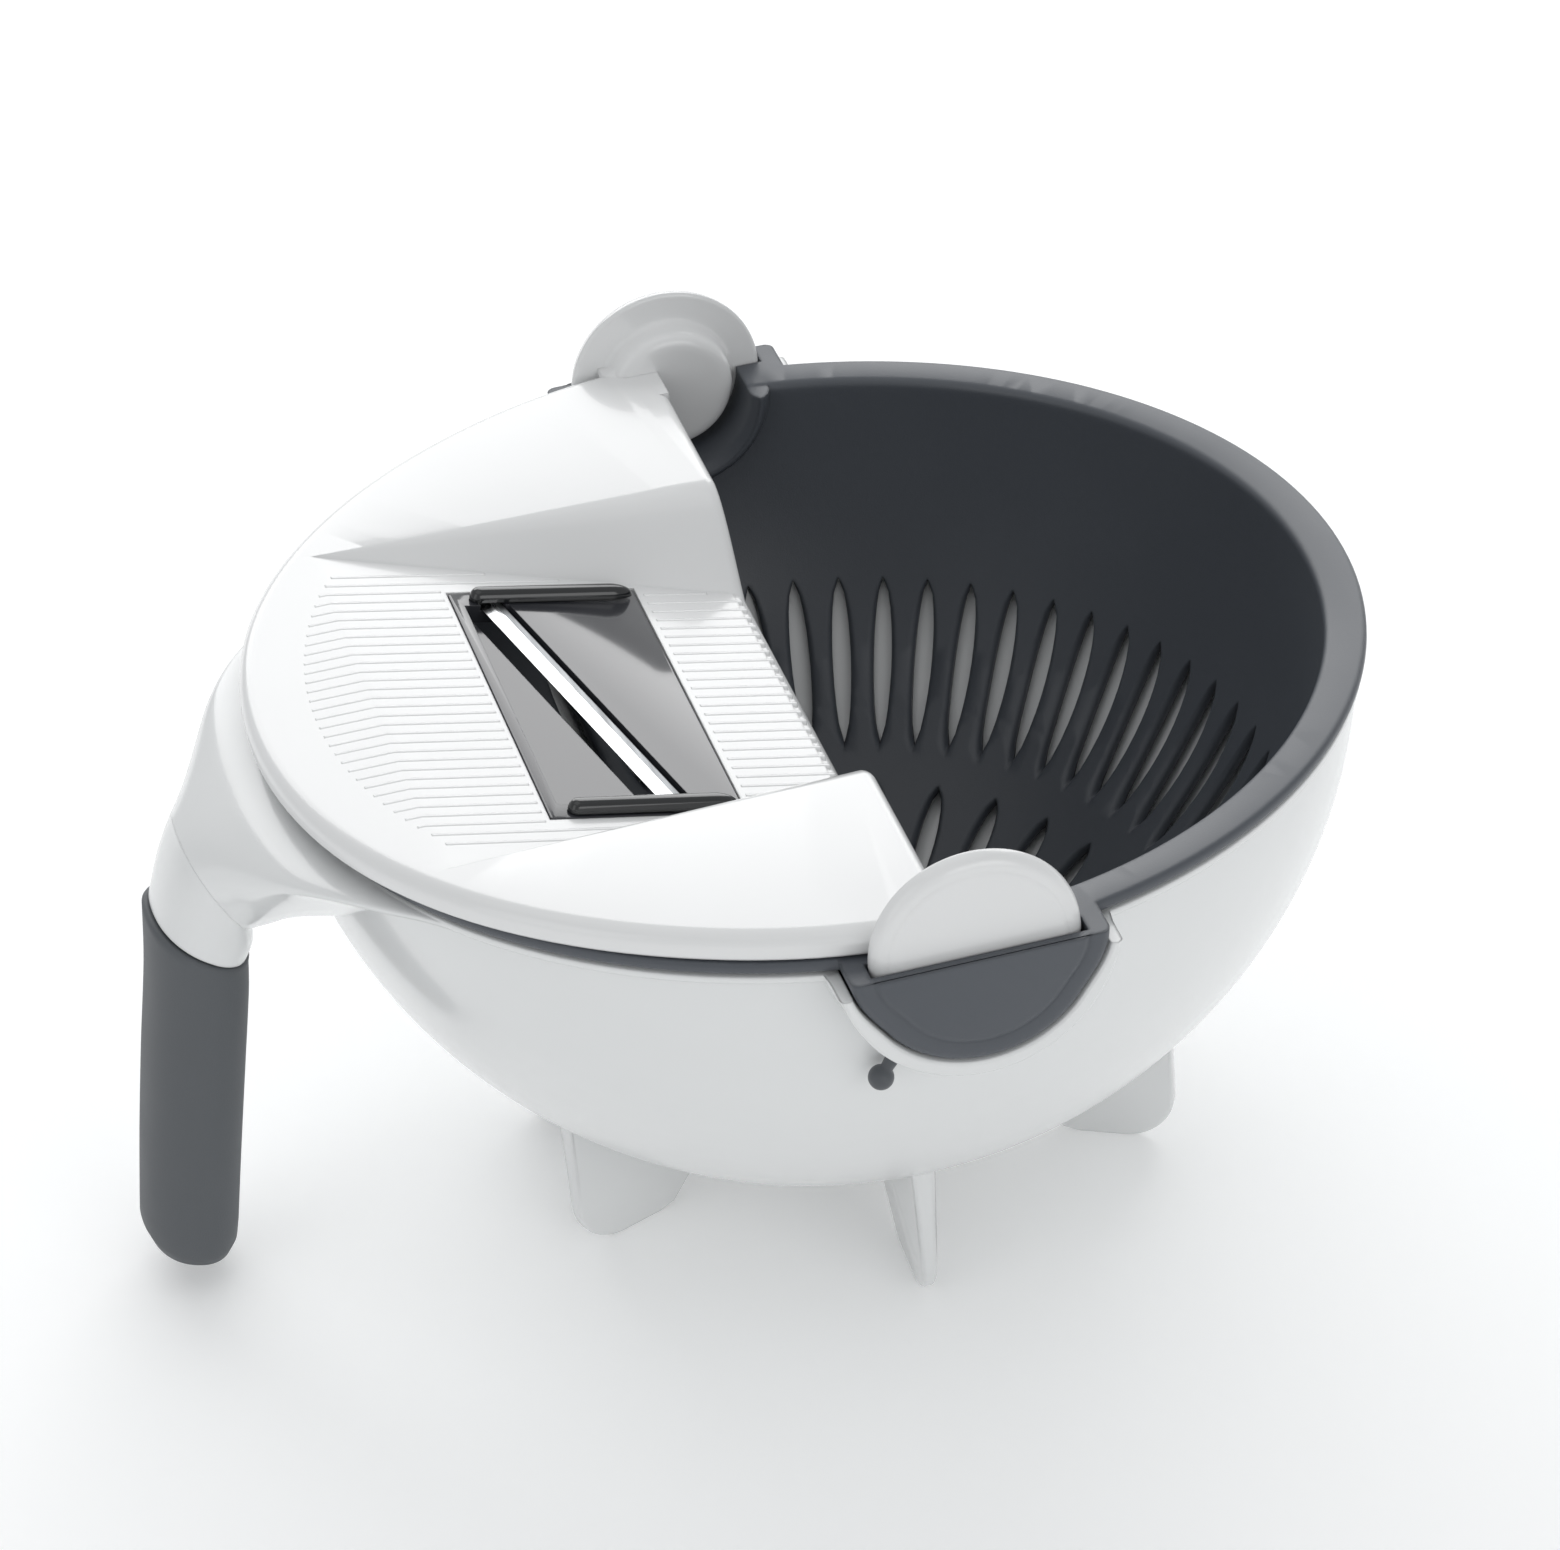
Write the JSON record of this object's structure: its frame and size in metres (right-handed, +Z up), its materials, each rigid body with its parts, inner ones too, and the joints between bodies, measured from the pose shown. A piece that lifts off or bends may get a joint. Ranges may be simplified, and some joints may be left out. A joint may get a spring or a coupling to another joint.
{
  "type": "rotary cheese grater",
  "caption": "Grater and strainer bowl: a half-disc slicing lid turns on ear discs in a slotted drain basket that hangs in a handled bowl on fin feet.",
  "frame": {"origin": "on the table under the centre of the object's bounding box", "axes": "+X from the handle towards the open side of the bowl, +Y along the ear axis away from the lock pin, +Z up"},
  "size_m": [0.2594, 0.2348, 0.137],
  "materials": {
    "white_plastic": "glossy white moulding",
    "lid_plastic": "glossy white moulding",
    "grey_plastic": "satin dark grey moulding",
    "grip_rubber": "soft-touch grey",
    "tray_plastic": "polished near-black",
    "clamp_plastic": "polished black",
    "blade_steel": "ground steel",
    "screw_steel": "plated steel"
  },
  "bodies": {
    "bowl": {"outer_bowl": "white_plastic", "handle_core": "white_plastic", "grip_sleeve": "grip_rubber", "handle_screw_1": "screw_steel", "handle_screw_2": "screw_steel"},
    "basket": {"drain_basket": "grey_plastic"},
    "lid": {"grater_lid": "lid_plastic"},
    "insert": {"insert_tray": "tray_plastic", "slicing_blade": "blade_steel", "blade_clamp_front": "clamp_plastic", "blade_clamp_rear": "clamp_plastic"},
    "pin": {"lock_pin": "grey_plastic"}
  },
  "joints": [
    {"name": "basket_lift", "type": "slide", "parent": "bowl", "child": "basket", "axis": [0, 0, 1], "range_m": [0, 0.13]},
    {"name": "lid_swing", "type": "hinge", "parent": "basket", "child": "lid", "pos_m": [0.01925, 0, 0.1165], "axis": [0, 1, 0], "range_deg": [0, 150]},
    {"name": "insert_lift", "type": "slide", "parent": "lid", "child": "insert", "axis": [0.2072, 0, 0.9783], "range_m": [0, 0.03]},
    {"name": "lock_pin_pull", "type": "slide", "parent": "bowl", "child": "pin", "axis": [-0.5446, 0, -0.8387], "range_m": [0, 0.003]}
  ]
}
